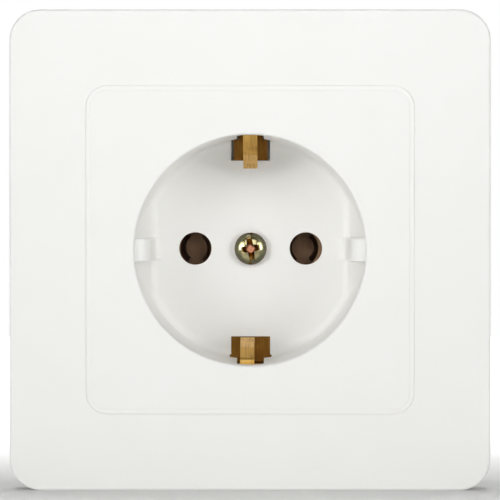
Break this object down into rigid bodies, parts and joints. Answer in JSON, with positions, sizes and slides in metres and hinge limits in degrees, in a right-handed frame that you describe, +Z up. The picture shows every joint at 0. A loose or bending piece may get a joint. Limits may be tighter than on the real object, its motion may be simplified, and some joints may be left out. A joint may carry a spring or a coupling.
{
  "type": "type f wall socket",
  "caption": "Flush wall socket of type F: square cover frame, centre plate with a round well, pin holes, sprung side earth tongues and a centre screw, with its base, contacts and terminals.",
  "frame": {"origin": "centre of the wall screw holes, on the wall plane, which is the back of the support ring", "axes": "+Y runs into the wall, so the face looks along -Y, +X runs to the right as seen from the room, and +Z is up"},
  "size_m": [0.081, 0.0402, 0.081],
  "materials": {
    "white_moulding": "smooth moulded thermoplastic with a soft gloss",
    "yellow_zinc_steel": "zinc plated and yellow passivated",
    "galvanised_steel": "stamped galvanised sheet",
    "base_moulding": "fine matt moulded insulating plastic",
    "brass_strip": "rolled strip, stamped and folded",
    "spring_steel": "rolled and hardened strip",
    "zinc_steel": "bright zinc plated"
  },
  "bodies": {
    "root": {"cover_frame": "white_moulding", "centre_plate": "white_moulding", "centre_screw": "yellow_zinc_steel", "support_ring": "galvanised_steel", "base_housing": "base_moulding", "rear_cover": "base_moulding", "earth_bracket": "brass_strip", "centre_bush": "brass_strip", "line_contact": "brass_strip", "neutral_contact": "brass_strip", "line_contact_spring": "spring_steel", "neutral_contact_spring": "spring_steel", "line_upper_clamp": "zinc_steel", "line_lower_clamp": "zinc_steel", "neutral_upper_clamp": "zinc_steel", "neutral_lower_clamp": "zinc_steel", "earth_left_clamp": "zinc_steel", "earth_right_clamp": "zinc_steel", "terminal_screws": "zinc_steel", "ring_screws": "zinc_steel", "rear_cover_screws": "zinc_steel"}
  },
  "joints": []
}
